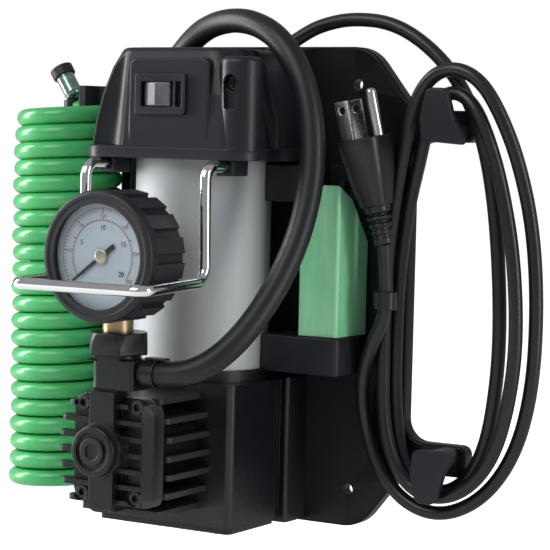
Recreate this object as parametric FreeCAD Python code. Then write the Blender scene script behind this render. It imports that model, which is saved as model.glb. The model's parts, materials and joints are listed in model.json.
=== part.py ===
import FreeCAD, Part
import math
import os

# Wall-mounted tire inflator. Millimetres, X right, +Y into the wall, Z up.
# The origin is the middle of the four wall holes, on the back face of the plate.

V = FreeCAD.Vector
X_AXIS = V(1, 0, 0)
Y_AXIS = V(0, 1, 0)
Z_AXIS = V(0, 0, 1)

# ---- driving dimensions -------------------------------------------------
PLATE_T = 7.0                 # back plate thickness
PLATE_TOP = 109.0             # half height of the back plate
PLATE_LEFT = -70.0
CUT_X = 88.0                  # inner edge of the D-shaped cut-out
CUT_Z = 67.0                  # half height of the D-shaped cut-out
ARM_END = 119.0
ARM_TOP = 81.0
WALL_HOLE_X = 60.0
WALL_HOLE_Z = 92.0
WALL_HOLE_R = 2.6
PLATE_ROUNDING = 1.2          # along the plate's front edges
PLATE_SCREWS = [(-24, 66), (24, 66), (-26, -96), (26, -96), (56, 47), (56, -30),
                (-59, 85)]

MOTOR_Y = -40.0               # the motor's upright axis, in front of the plate
CAN_R = 30.7
CAN_BOTTOM = -36.0
CAN_TOP = 62.0
CAN_WALL = 1.6
SHAFT_R = 3.0
SHAFT_FROM = -60.0
SHAFT_LENGTH = 138.0
BEARING_R = 8.0
BEARING_T = 5.0
END_PLATE_T = 5.0
MAGNET_BORE_R = 24.6
CORE_R = 23.4
CORE_FROM = -15.0
CORE_LENGTH = 50.0
CORE_SLOTS = 12
COMMUTATOR_R = 9.0
FAN_R = 24.0
FAN_Z = 66.0                  # underside of the fan's disc
FAN_BLADES = 9

HOUSING_BOTTOM = 57.0
HOUSING_TOP = 106.0
SWITCH_Y = -74.0              # plane of the switch on the housing's front
SWITCH_Z = 85.2
ROCKER_PIVOT = V(-1.25, -72.5, SWITCH_Z)

CRANK_Z = -68.0               # height of the pump cylinder's axis
CRANK_THROW = 6.0
CRANK_DISC_R = 13.0
CRANK_DISC_Z = -62.0
PIN_R = 2.2                   # crank pin and wrist pin
PISTON_R = 14.45
BORE_R = 14.5
WRIST_Y = -84.5               # wrist pin at mid stroke
CYL_BACK = -70.0
CYL_FRONT = -101.5
HEAD_FRONT = -111.5
PISTON_CROWN = CYL_FRONT + CRANK_THROW
PISTON_LENGTH = 18.0
FIN_Z = -70.6                 # middle fin of the cylinder
FIN_PITCH = 8.1
HEAD_FIN_Z = -69.2            # middle fin of the head
HEAD_FIN_PITCH = 6.9
BOLT_X = 14.0                 # the head's four screws, from the pump's axis
BOLT_Z = 19.5

GAUGE_Y = -122.0              # front plane of the gauge's boot
GAUGE_Z = 15.5
GAUGE_R = 28.3
DIAL_R = 23.9
DIAL_Y = GAUGE_Y + 5.4        # front face of the dial
BOOT_DEPTH = 26.6
NEEDLE_REST = -126.0          # degrees from straight up, clockwise seen from the front
MANIFOLD_Y = -105.0
CAP_X = -3.0                  # the round cap sits a little left of the cylinder
AIR_PORT_Y = -105.5           # the passage from the head up into the manifold

COIL_X = -82.0
COIL_Y = -33.0
COIL_R = 26.0                 # outside radius of the coiled hose
COIL_HOSE_R = 4.0
COIL_TOP = 79.5
COIL_BOTTOM = -104.0
PEG_R = 17.2                  # the hollow holder inside the coil
PEG_WALL = 2.6
PEG_TOP = 76.0
PEG_BOTTOM = -98.0

CHUCK = V(-94, -14.1, 79.4)   # where the coiled hose enters the elbow
CHUCK_AXIS = V(-0.55, 0, 0.835).normalize()
ELBOW_DIR = V(0.88, 0.47, 0).normalize()      # from the elbow towards the coiled hose
ELBOW_ARM = 6.0
TIP_R = 4.6
VALVE_R = 3.9                 # takes a standard tire valve stem

BIN = (49.0, 69.0, -37.0, -9.0, -20.0, 47.0)
BIN_WALL = 1.6

HANDLE_R = 2.5
HANDLE_X = 31.5               # half the span between the handle's fixed ends
HANDLE_Z = 54.2

AIR_HOSE_R = 5.5
POWER_CORD_R = 3.1

# Hand-laid routes of the two free lines, end to end.
AIR_HOSE_ROUTE = [
    (14, -105, -34), (30, -105, -34), (43, -101, -29.5), (52, -92, -19.5),
    (58, -80.5, -5), (62, -69, 12), (64.5, -60, 31), (65.5, -54, 54),
    (61.5, -50, 79), (52.5, -47.5, 99.5), (38, -44, 113.5), (18, -38, 120),
    (-4, -29.5, 118.5), (-23, -18.5, 111.5), (-37.5, -14, 98), (-46.5, -14.5, 80),
    (-50.5, -16, 58), (-51, -17, 30), (-50.5, -18, -14), (-51, -18, -56),
    (-50.5, -18, -86),
]
POWER_CORD_ROUTE = [
    (29, -17, 109), (35.5, -15, 114), (45, -13.8, 118.5), (60, -13, 121.3),
    (80, -12.3, 119.3), (98, -11.7, 109), (112.5, -11, 94), (122.5, -11, 76),
    (130, -11, 50), (134.5, -11, 14), (136, -11, -22), (133.5, -11, -50),
    (129.5, -11, -68), (121.5, -11, -82), (109, -11, -88.5), (96.5, -11, -84),
    (88.5, -11, -71), (85.5, -11, -52), (85, -11, -28), (85.5, -11, 8),
    (89.5, -11, 38), (95, -11.5, 60), (98.5, -12, 76), (104.5, -14, 86),
    (114, -17, 89.5), (123.5, -18.5, 84), (130.5, -18.5, 71), (138, -18.5, 50),
    (145, -18.5, 18), (147.5, -18.5, -20), (143.5, -18.5, -50), (137, -18.5, -70),
    (125.5, -18.5, -84), (110.5, -18.5, -89.5), (96.5, -18.5, -85), (87, -18.3, -71),
    (83, -18, -52), (82.5, -17.5, -28), (82.3, -17.6, 10), (86, -18, 40),
    (91, -18.5, 66), (95.5, -19, 85), (104, -19.5, 96.5), (115.5, -19.8, 99.5),
    (127, -19, 94), (136, -17.5, 80), (144, -15, 60), (150.5, -12.5, 32),
    (153.5, -12, -2), (152.5, -12, -38), (145.5, -12, -67), (131, -12.5, -88),
    (111, -13, -98), (91.5, -13, -93.5), (77.5, -12.5, -78), (71, -13.5, -57),
    (73, -20, -38), (80, -24.5, -23), (86.1, -24, -10), (86.5, -24.4, 6),
    (86.4, -27, 22),
]
PLUG_BASE = V(86.4, -27, 22)
PLUG_AXIS = V(-0.19, -0.095, 0.977).normalize()


# ---- helpers ------------------------------------------------------------
os.makedirs("parts", exist_ok=True)


def save(name, shape):
    """Write one node, and stop if its solid is not sound."""
    if not shape.isValid():
        raise RuntimeError(name + " is not valid")
    shape.exportStep("parts/" + name + ".step")


def box(x0, x1, y0, y1, z0, z1):
    """A straight block between two opposite corners."""
    return Part.makeBox(x1 - x0, y1 - y0, z1 - z0, V(x0, y0, z0))


def rod(x, y, z, axis, radius, length):
    """A solid cylinder from (x, y, z) along one axis."""
    return Part.makeCylinder(radius, length, V(x, y, z), axis)


def ring(x, y, z, axis, outer, inner, length):
    """A cylinder with a hole through it."""
    return rod(x, y, z, axis, outer, length).cut(rod(x, y, z, axis, inner, length))


def fuse(shapes):
    """Join overlapping solids into one clean solid."""
    return shapes[0].multiFuse(shapes[1:]).removeSplitter()


def corner_radius(before, point, after):
    """Radius of the arc that uses 0.45 of the shorter run at one point."""
    a = point - before
    b = after - point
    turn = a.getAngle(b)
    return 0.45 * min(a.Length, b.Length) / math.tan(turn / 2)


def arc_at(before, point, after, radius):
    """The tangent arc at one corner of a path."""
    a = (before - point).normalize()
    b = (after - point).normalize()
    half = a.getAngle(b) / 2
    reach = radius / math.tan(half)
    middle = (a + b).normalize()
    centre = point + middle * (radius / math.sin(half))
    return point + a * reach, centre - middle * radius, point + b * reach


def rounded_path(points, radii, closed):
    """Straight runs joined by tangent arcs; a radius of 0 keeps the corner."""
    count = len(points)
    edges = []
    places = []
    for i in range(count):
        inner = closed or 0 < i < count - 1
        if inner and radii[i] > 0:
            places.append(arc_at(points[i - 1], points[i], points[(i + 1) % count], radii[i]))
        else:
            places.append((points[i],) * 3)
    for i in range(count):
        start, middle, end = places[i]
        if (end - start).Length > 1e-6:
            edges.append(Part.Arc(start, middle, end).toShape())
        if i < count - 1 or closed:
            follow = places[(i + 1) % count][0]
            if (follow - end).Length > 1e-6:
                edges.append(Part.LineSegment(end, follow).toShape())
    return Part.Wire(edges)


def tube(points, radius, radii):
    """A round bar along a path of straight runs and arcs."""
    path = rounded_path(points, radii, False)
    first = points[1] - points[0]
    section = Part.Wire(Part.makeCircle(radius, points[0], first))
    solid = path.makePipeShell([section], True, False)
    print("  path length %.1f, volume against section x length %.4f" % (
        path.Length, solid.Volume / (math.pi * radius ** 2 * path.Length)))
    return solid


def free_line(route, radius, label):
    """A cord's solid, with the radii of its bends printed."""
    points = [V(*p) for p in route]
    radii = [0.0] * len(points)
    for i in range(1, len(points) - 1):
        radii[i] = corner_radius(points[i - 1], points[i], points[i + 1])
    print(label, "radii", [round(r) for r in radii[1:-1]])
    return tube(points, radius, radii)


def outline(points, plane):
    """A closed rounded outline from (a, b, radius) corners."""
    corners = [plane(a, b) for a, b, r in points]
    return rounded_path(corners, [r for a, b, r in points], True)


def upright_slab(points, y0, y1):
    """An outline in X and Z, as thick as y0 to y1."""
    wire = outline(points, lambda a, b: V(a, y0, b))
    return Part.Face(wire).extrude(V(0, y1 - y0, 0))


def flat_slab(points, z0, z1):
    """An outline in X and Y, as thick as z0 to z1."""
    wire = outline(points, lambda a, b: V(a, b, z0))
    return Part.Face(wire).extrude(V(0, 0, z1 - z0))


def rectangle(half_x, y0, y1, radius, z):
    """A rounded rectangle at one height, symmetric in X."""
    corners = [(-half_x, y0, radius), (half_x, y0, radius),
               (half_x, y1, radius), (-half_x, y1, radius)]
    return outline(corners, lambda a, b: V(a, b, z))


def mirrored_up(shape):
    """The same shape below the plate's middle."""
    return shape.mirror(V(0, 0, 0), Z_AXIS)


# ---- wall side ----------------------------------------------------------
def make_back_plate():
    """The moulded plate with its stepped outline, wall holes and screw holes."""
    half = [(PLATE_LEFT, PLATE_TOP, 10), (66, PLATE_TOP, 18), (86, 84, 14),
            (95, ARM_TOP, 6), (ARM_END, ARM_TOP, 4), (ARM_END, CUT_Z, 4),
            (CUT_X, CUT_Z, 10)]
    lower = [(x, -z, r) for x, z, r in reversed(half)]
    plate = upright_slab(half + lower, -PLATE_T, 0)
    front_edges = [e for e in plate.Edges if abs(e.CenterOfMass.y + PLATE_T) < 0.01]
    plate = plate.makeFillet(PLATE_ROUNDING, front_edges)
    holes = []
    for sx in (-1, 1):
        for sz in (-1, 1):
            holes.append(rod(sx * WALL_HOLE_X, -PLATE_T, sz * WALL_HOLE_Z, Y_AXIS,
                             WALL_HOLE_R, PLATE_T))
    for x, z in PLATE_SCREWS:
        holes.append(rod(x, -PLATE_T, z, Y_AXIS, 2.1, PLATE_T))
        holes.append(rod(x, -3, z, Y_AXIS, 4.2, 3))
    for sz in (-1, 1):
        holes.append(rod(111.5, -PLATE_T, sz * 72, Y_AXIS, 3.05, PLATE_T))
    save("back_plate", plate.cut(Part.makeCompound(holes)))


def plate_screws():
    """Cross-head screws that hold everything to the back plate."""
    screws = []
    for x, z in PLATE_SCREWS:
        head = rod(x, -3, z, Y_AXIS, 3.9, 2.4)
        cross = box(x - 2.4, x + 2.4, -1.6, 0, z - 0.5, z + 0.5)
        cross = cross.fuse(box(x - 0.5, x + 0.5, -1.6, 0, z - 2.4, z + 2.4))
        screws.append(head.cut(cross).fuse(rod(x, -13, z, Y_AXIS, 2.0, 10.2)))
    return screws


def housing_screw():
    """The screw in the housing's corner post."""
    head = rod(35, -71.4, 90.5, Y_AXIS, 3.2, 2.2)
    cross = box(32.8, 37.2, -72, -70.6, 90, 91).fuse(box(34.5, 35.5, -72, -70.6, 88.3, 92.7))
    return head.cut(cross).fuse(rod(35, -69.2, 90.5, Y_AXIS, 1.55, 6))


def make_hooks():
    """The two cord hooks, each plugged into the plate's arm."""
    post = upright_slab([(107, 67.5, 3), (116, 67.5, 3), (116, 76, 3), (107, 76, 3)], -25, -PLATE_T)
    peg = rod(111.5, -PLATE_T - 1, 72, Y_AXIS, 3.0, PLATE_T)
    flange = upright_slab([(103, 67.5, 2), (124, 66, 1.2), (118.5, 77, 8), (114.5, 90.5, 4),
                           (105, 90.5, 4), (102, 78, 8)], -28, -24)
    edges = [e for e in flange.Edges if abs(e.CenterOfMass.y + 28) < 0.01]
    upper = fuse([flange.makeFillet(1.0, edges), post, peg])
    save("cord_hooks", Part.makeCompound([upper, mirrored_up(upper)]))


def make_hose_peg():
    """The post inside the coiled hose, and the arm over the hose to the plate."""
    post = rod(COIL_X, COIL_Y, PEG_BOTTOM, Z_AXIS, PEG_R, PEG_TOP - PEG_BOTTOM)
    crown = rod(COIL_X, COIL_Y, 60, Z_AXIS, PEG_R, 29.5).common(box(-70.5, -60, -41, -25, 60, 90))
    post = post.cut(rod(COIL_X, COIL_Y, PEG_BOTTOM, Z_AXIS, PEG_R - PEG_WALL,
                        PEG_TOP - PEG_BOTTOM - 4))
    arm = flat_slab([(-70.5, -33, 2), (-56, -33, 6), (-56, -7, 0), (-65, -7, 0),
                     (-65, -20, 4), (-70.5, -22, 2)], 82, 89.5)
    screw = rod(-59, -13.2, 85, Y_AXIS, 2.0, 7)
    save("hose_peg", fuse([post, crown, arm]).cut(screw))


# ---- motor --------------------------------------------------------------
def make_motor_shell():
    """The can, its two end plates, the field magnets and the bearings."""
    can = ring(0, MOTOR_Y, CAN_BOTTOM, Z_AXIS, CAN_R, CAN_R - CAN_WALL, CAN_TOP - CAN_BOTTOM)
    save("motor_can", can)
    inner = CAN_R - CAN_WALL
    lower = rod(0, MOTOR_Y, CAN_BOTTOM, Z_AXIS, inner, END_PLATE_T)
    lower = lower.fuse(ring(0, MOTOR_Y, CAN_BOTTOM - 5, Z_AXIS, 11, SHAFT_R + 1, 5))
    lower = lower.cut(rod(0, MOTOR_Y, CAN_BOTTOM - 3, Z_AXIS, BEARING_R, 8))
    lower = lower.cut(rod(0, MOTOR_Y, CAN_BOTTOM - 6, Z_AXIS, SHAFT_R + 1, 20))
    save("motor_end_lower", lower)
    upper = rod(0, MOTOR_Y, CAN_TOP - END_PLATE_T, Z_AXIS, inner, END_PLATE_T)
    upper = upper.cut(rod(0, MOTOR_Y, CAN_TOP - END_PLATE_T, Z_AXIS, BEARING_R, 10))
    slots = []
    for k in range(6):
        slot = box(13, 24, MOTOR_Y - 3, MOTOR_Y + 3, CAN_TOP - 6, CAN_TOP + 1)
        slots.append(slot.rotate(V(0, MOTOR_Y, 0), Z_AXIS, 30 + 60 * k))
    save("motor_end_upper", upper.cut(Part.makeCompound(slots)))
    magnets = ring(0, MOTOR_Y, -20, Z_AXIS, inner, MAGNET_BORE_R, 58)
    gap = box(-4, 4, MOTOR_Y - 32, MOTOR_Y + 32, -21, 39)
    save("field_magnets", magnets.cut(gap))
    bearings = [ring(0, MOTOR_Y, z, Z_AXIS, BEARING_R, SHAFT_R + 0.03, BEARING_T)
                for z in (CAN_BOTTOM - 3, CAN_TOP - BEARING_T)]
    save("shaft_bearings", Part.makeCompound(bearings))
    holders = []
    brushes = []
    for side in (0, 180):
        holder = box(11, 24, MOTOR_Y - 5, MOTOR_Y + 5, 46, 57)
        slot = box(9, 22, MOTOR_Y - 2.5, MOTOR_Y + 2.5, 48, 54)
        brush = box(9.6, 20, MOTOR_Y - 2.4, MOTOR_Y + 2.4, 48.1, 53.9)
        holders.append(holder.cut(slot).rotate(V(0, MOTOR_Y, 0), Z_AXIS, side))
        brushes.append(brush.rotate(V(0, MOTOR_Y, 0), Z_AXIS, side))
    save("brush_gear", Part.makeCompound(holders + brushes))


def make_rotor():
    """Everything that turns on the motor shaft, from the fan to the crank disc."""
    shaft = rod(0, MOTOR_Y, SHAFT_FROM, Z_AXIS, SHAFT_R, SHAFT_LENGTH)
    save("motor_shaft", shaft)
    slots = []
    for k in range(CORE_SLOTS):
        slot = box(12, 21, MOTOR_Y - 1.8, MOTOR_Y + 1.8, -16, 36)
        mouth = box(20, 25, MOTOR_Y - 0.8, MOTOR_Y + 0.8, -16, 36)
        slots.append(slot.fuse(mouth).rotate(V(0, MOTOR_Y, 0), Z_AXIS, 360 / CORE_SLOTS * k))
    core = ring(0, MOTOR_Y, CORE_FROM, Z_AXIS, CORE_R, SHAFT_R, CORE_LENGTH)
    save("armature_core", core.cut(Part.makeCompound(slots)))
    coils = [ring(0, MOTOR_Y, z, Z_AXIS, 20.5, 5, 8)
             for z in (CORE_FROM - 8, CORE_FROM + CORE_LENGTH)]
    save("armature_windings", Part.makeCompound(coils))
    bars = []
    for k in range(CORE_SLOTS):
        bar = box(7.4, 9.2, MOTOR_Y - 0.2, MOTOR_Y + 0.2, 46.5, 56.5)
        bars.append(bar.rotate(V(0, MOTOR_Y, 0), Z_AXIS, 360 / CORE_SLOTS * (k + 0.5)))
    drum = ring(0, MOTOR_Y, 45, Z_AXIS, COMMUTATOR_R, SHAFT_R, 11)
    save("commutator", drum.cut(Part.makeCompound(bars)))
    hub = ring(0, MOTOR_Y, FAN_Z, Z_AXIS, 7, SHAFT_R, 11)
    blades = [hub, ring(0, MOTOR_Y, FAN_Z, Z_AXIS, FAN_R, 6, 1.4)]
    for k in range(FAN_BLADES):
        blade = box(6, FAN_R, MOTOR_Y - 0.7, MOTOR_Y + 0.7, FAN_Z + 1, FAN_Z + 10)
        blade = blade.rotate(V(15, MOTOR_Y, 0), Z_AXIS, 18)
        blades.append(blade.rotate(V(0, MOTOR_Y, 0), Z_AXIS, 360 / FAN_BLADES * k))
    save("cooling_fan", fuse(blades))
    disc = rod(0, MOTOR_Y, CRANK_DISC_Z, Z_AXIS, CRANK_DISC_R, 6)
    weight = box(-14, 14, MOTOR_Y - 14, MOTOR_Y + 2, -63, -55)
    disc = disc.cut(ring(0, MOTOR_Y, -58, Z_AXIS, 20, 8, 3).common(weight))
    disc = disc.cut(rod(0, MOTOR_Y, SHAFT_FROM, Z_AXIS, SHAFT_R, 10))
    pin = rod(0, MOTOR_Y + CRANK_THROW, CRANK_DISC_Z - 12, Z_AXIS, PIN_R, 12)
    save("crank_disc", fuse([disc, pin]))


# ---- pump ---------------------------------------------------------------
def make_crankcase():
    """The cast box under the motor that carries the cylinder."""
    main = flat_slab([(-36.5, -70, 3), (36.5, -70, 3), (36.5, -30, 2), (-36.5, -30, 2)], -104, -41)
    foot = flat_slab([(-35, -68, 3), (35, -68, 3), (35, -30, 2), (-35, -30, 2)], -107, -104)
    neck = box(-33.5, 33.5, -31, -23, -105, -42)
    flange = flat_slab([(-37.5, -24, 1.5), (37.5, -24, 1.5), (37.5, -7, 0), (-37.5, -7, 0)],
                       -107.5, -41)
    collar = rod(0, MOTOR_Y, -43, Z_AXIS, 32.4, 7)
    shelf = box(-30, 30, -70, -9, -43, -39)
    shape = fuse([main, foot, neck, flange, collar, shelf.common(rod(0, MOTOR_Y, -43, Z_AXIS, 32.4, 4))])
    cavity = box(-31, 31, -65, -14, -103.9, -46)
    can_seat = rod(0, MOTOR_Y, CAN_BOTTOM, Z_AXIS, CAN_R + 0.05, 10)
    nose = rod(0, MOTOR_Y, CAN_BOTTOM - 5, Z_AXIS, 11.05, 6)
    pass_hole = rod(0, MOTOR_Y, -50, Z_AXIS, 5, 15)
    front = rod(0, -71, CRANK_Z, Y_AXIS, 17.5, 10)
    floor_hole = box(-29, 29, -63, -16, -108, -103)
    cuts = [cavity, can_seat, nose, pass_hole, front, floor_hole]
    cuts += [rod(sx * 26, -13.2, -96, Y_AXIS, 2.0, 7) for sx in (-1, 1)]
    save("crankcase", shape.cut(Part.makeCompound(cuts)))
    cover = box(-28.9, 28.9, -62.9, -16.1, -107, -103.9)
    screw_holes = []
    screws = []
    for x in (-24, 24):
        for y in (-58, -21):
            screw_holes.append(rod(x, y, -108, Z_AXIS, 2.0, 6))
            screws.append(rod(x, y, -108.6, Z_AXIS, 3.4, 1.6).fuse(rod(x, y, -107, Z_AXIS, 1.95, 3)))
    save("crankcase_cover", cover.cut(Part.makeCompound(screw_holes)))
    save("case_screws", Part.makeCompound(screws + plate_screws() + [housing_screw()]))


def cylinder_fins():
    """Level cooling fins round the pump cylinder, shorter at the top and bottom."""
    fins = []
    for k in range(-3, 4):
        z = FIN_Z + FIN_PITCH * k
        half = 25.5 - (0, 0, 1.2, 5.0)[abs(k)]
        corners = [(-half, CYL_FRONT, 2), (half, CYL_FRONT, 2), (half, CYL_BACK, 0),
                   (-half, CYL_BACK, 0)]
        fins.append(flat_slab(corners, z - 1.3, z + 1.3))
    return fins


def head_fins():
    """Closer fins on the head, open to its left and pocketed on its right."""
    fins = []
    for k in range(-3, 4):
        z = HEAD_FIN_Z + HEAD_FIN_PITCH * k
        half = 27.2 - (0, 0.4, 1.6, 5.5)[abs(k)]
        corners = [(-half, HEAD_FRONT + 0.3, 4), (18, HEAD_FRONT + 0.3, 0), (18, CYL_FRONT - 3, 0),
                   (-half, CYL_FRONT - 3, 0)]
        fins.append(flat_slab(corners, z - 1.1, z + 1.1))
    return fins


def make_pump():
    """The finned barrel, and the parts bolted on its front."""
    core = rod(0, CYL_FRONT, CRANK_Z, Y_AXIS, 19.5, CYL_BACK - CYL_FRONT)
    spigot = rod(0, CYL_BACK, CRANK_Z, Y_AXIS, 17.4, 5)
    webs = box(-3, 3, CYL_FRONT, CYL_BACK, CRANK_Z - 26, CRANK_Z + 22)
    end_wall = upright_slab(head_outline(20.5, 6), CYL_FRONT, CYL_FRONT + 2.5)
    body = fuse([core, spigot, webs, end_wall] + cylinder_fins())
    body = body.cut(rod(0, CYL_FRONT - 1, CRANK_Z, Y_AXIS, BORE_R, 60))
    body = body.cut(Part.makeCompound(head_bolt_holes(CYL_FRONT - 1, 9)))
    save("finned_cylinder", body)
    save("head_gasket", head_plate(CYL_FRONT - 0.6, CYL_FRONT, BORE_R))
    make_valve_plate()
    make_head()
    make_piston()


def head_outline(half, corner):
    """The rounded square that the head, gasket and end wall share."""
    low = CRANK_Z - 23
    high = CRANK_Z + 23
    return [(-half, low, corner), (half, low, corner), (half, high, corner), (-half, high, corner)]


def make_valve_plate():
    """The plate of valve ports with its gasket."""
    plate = head_plate(CYL_FRONT - 2.2, CYL_FRONT - 0.6, 0)
    ports = []
    for x in (-7, 7):
        for z in (-3.5, 3.5):
            ports.append(rod(x, CYL_FRONT - 3, CRANK_Z + z, Y_AXIS, 1.5, 4))
    reeds = [box(x - 2, x + 2, CYL_FRONT - 2.5, CYL_FRONT - 2.2, CRANK_Z - 5.5, CRANK_Z + 5.5)
             for x in (-7, 7)]
    save("valve_plate", Part.makeCompound([plate.cut(Part.makeCompound(ports))] + reeds))


def make_head():
    """The finned head, its round cap and their screws."""
    back = CYL_FRONT - 2.2
    head = [box(-8, 4.7, HEAD_FRONT, back, CRANK_Z - 26, CRANK_Z + 26.5)]
    head.append(upright_slab(head_outline(20.5, 6), HEAD_FRONT + 4.5, back))
    head.append(upright_slab([(17.7, -91, 1), (24.2, -91, 4.5), (24.2, -47, 4.5), (17.7, -47, 1)],
                             HEAD_FRONT + 0.5, back))
    head += head_fins()
    head.append(upright_slab([(-8, -94.5, 4), (4.7, -94.5, 4), (4.7, -42.5, 1), (-8, -42.5, 1)],
                             HEAD_FRONT - 2, HEAD_FRONT + 1))
    shape = fuse(head)
    shape = shape.fuse(rod(CAP_X, HEAD_FRONT - 3, CRANK_Z, Y_AXIS, 11.8, 4))
    for x, z in bolt_places():
        shape = shape.cut(rod(x, HEAD_FRONT - 3, z, Y_AXIS, 3.3, 7.5))
        shape = shape.cut(rod(x, HEAD_FRONT - 3, z, Y_AXIS, 2.05, 20))
    shape = shape.cut(rod(0, HEAD_FRONT + 3, CRANK_Z, Y_AXIS, 11, 20))
    shape = shape.cut(rod(0, HEAD_FRONT + 1, CRANK_Z, Y_AXIS, 2.5, 5))
    shape = shape.cut(rod(0, AIR_PORT_Y, CRANK_Z + 8, Z_AXIS, 2.5, 30))
    save("cylinder_head", shape)
    bolts = []
    for x, z in bolt_places():
        head_part = rod(x, HEAD_FRONT + 1.7, z, Y_AXIS, 3.1, 2.8)
        socket = Part.Face(Part.Wire(Part.makePolygon(
            [V(x + 1.7 * math.cos(math.radians(a)), HEAD_FRONT + 1.7,
               z + 1.7 * math.sin(math.radians(a))) for a in range(0, 361, 60)])))
        head_part = head_part.cut(socket.extrude(V(0, 1.6, 0)))
        bolts.append(head_part.fuse(rod(x, HEAD_FRONT + 4.5, z, Y_AXIS, 2.0, 13)))
    save("head_screws", Part.makeCompound(bolts))
    cap = rod(CAP_X, HEAD_FRONT - 7, CRANK_Z, Y_AXIS, 11, 4)
    rim = [e for e in cap.Edges if abs(e.CenterOfMass.y - HEAD_FRONT + 7) < 0.1]
    cap = cap.makeFillet(1.2, rim)
    cap = cap.cut(ring(CAP_X, HEAD_FRONT - 8, CRANK_Z, Y_AXIS, 8.2, 6.0, 2.2))
    cap = cap.cut(rod(CAP_X, HEAD_FRONT - 8, CRANK_Z, Y_AXIS, 3.4, 1.8))
    save("head_cap", cap)


def make_piston():
    """The piston with its seal, pin and connecting rod."""
    piston = rod(0, PISTON_CROWN, CRANK_Z, Y_AXIS, PISTON_R, PISTON_LENGTH)
    piston = piston.cut(rod(0, PISTON_CROWN + 4, CRANK_Z, Y_AXIS, 11.5, 20))
    piston = piston.cut(ring(0, PISTON_CROWN + 1.8, CRANK_Z, Y_AXIS, 16, 12.6, 2.2))
    piston = piston.cut(rod(0, WRIST_Y, CRANK_Z - 16, Z_AXIS, PIN_R, 32))
    save("piston", piston)
    save("piston_seal", ring(0, PISTON_CROWN + 1.8, CRANK_Z, Y_AXIS, 14.46, 12.6, 2.2))
    save("wrist_pin", rod(0, WRIST_Y, CRANK_Z - 13, Z_AXIS, PIN_R, 26))
    low = CRANK_Z - 3
    high = CRANK_Z + 3
    small = rod(0, WRIST_Y, CRANK_Z - 4, Z_AXIS, 5.2, 8)
    shank = box(-3, 3, WRIST_Y, MOTOR_Y - 14, low, high)
    eye_out = [(-11.5, -57.5, 9), (11.5, -57.5, 9), (11.5, -22.5, 9), (-11.5, -22.5, 9)]
    eye_in = [(-8.7, -54.7, 8.2), (8.7, -54.7, 8.2), (8.7, -25.3, 8.2), (-8.7, -25.3, 8.2)]
    link = fuse([small, shank, flat_slab(eye_out, low, high)])
    link = link.cut(rod(0, WRIST_Y, CRANK_Z - 5, Z_AXIS, PIN_R, 10))
    save("connecting_rod", link.cut(flat_slab(eye_in, low - 1, high + 1)))


def bolt_places():
    """Where the four long head screws stand, as (x, z)."""
    return [(sx * BOLT_X, CRANK_Z + sz * BOLT_Z) for sx in (-1, 1) for sz in (-1, 1)]


def head_bolt_holes(y, length):
    """Clearance for the four long screws over a depth."""
    return [rod(x, y, z, Y_AXIS, 2.05, length) for x, z in bolt_places()]


def head_plate(y0, y1, bore):
    """A plate of the head's outline, bored for the screws."""
    plate = upright_slab(head_outline(20.5, 6), y0, y1)
    if bore:
        plate = plate.cut(rod(0, y0 - 1, CRANK_Z, Y_AXIS, bore, 5))
    return plate.cut(Part.makeCompound(head_bolt_holes(y0 - 1, 5)))


def make_manifold():
    """The outlet block on the head, with the hose barb and the gauge nut."""
    block = flat_slab([(-8.5, -113, 4), (13.5, -113, 1.5), (13.5, -98, 1.5), (-8.5, -98, 3)],
                      -41.5, -28.5)
    turret = rod(0, MANIFOLD_Y, -29, Z_AXIS, 10.4, 2.5)
    barb = rod(10, MANIFOLD_Y, -34, X_AXIS, 4.6, 4)
    shape = fuse([block, turret.common(box(-8.5, 13.5, -113, -98, -30, -26)), barb])
    shape = shape.cut(rod(0, MANIFOLD_Y, -38, Z_AXIS, 4.4, 15))
    shape = shape.cut(rod(0, MANIFOLD_Y, -34, X_AXIS, 2.5, 15))
    shape = shape.cut(rod(0, AIR_PORT_Y, -42, Z_AXIS, 2.5, 8))
    save("manifold", shape)
    corners = []
    for a in range(8, 361, 60):
        turn = math.radians(a)
        corners.append(V(0.6 + 14 * math.cos(turn), MANIFOLD_Y + 14 * math.sin(turn), -26.5))
    nut = Part.Face(Part.makePolygon(corners + [corners[0]])).extrude(V(0, 0, 9.5))
    cone = Part.makeCone(15, 11.6, 13, V(0.6, MANIFOLD_Y, -26.5), Z_AXIS)
    nut = nut.common(cone).cut(rod(0, MANIFOLD_Y, -27, Z_AXIS, 4.4, 12))
    save("gauge_nut", nut)
    save("hose_clamp", make_spring_clamp())


def make_spring_clamp():
    """A spring band round the hose, with a finger tab laid along its top."""
    band = ring(16, MANIFOLD_Y, -34, X_AXIS, 6.5, 5.6, 6)
    tab = box(16, 26, MANIFOLD_Y - 2.2, MANIFOLD_Y + 2.2, -27.9, -26.9)
    root = box(16, 20, MANIFOLD_Y - 2.2, MANIFOLD_Y + 2.2, -28.2, -26.9)
    return fuse([band, tab, root])


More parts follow.
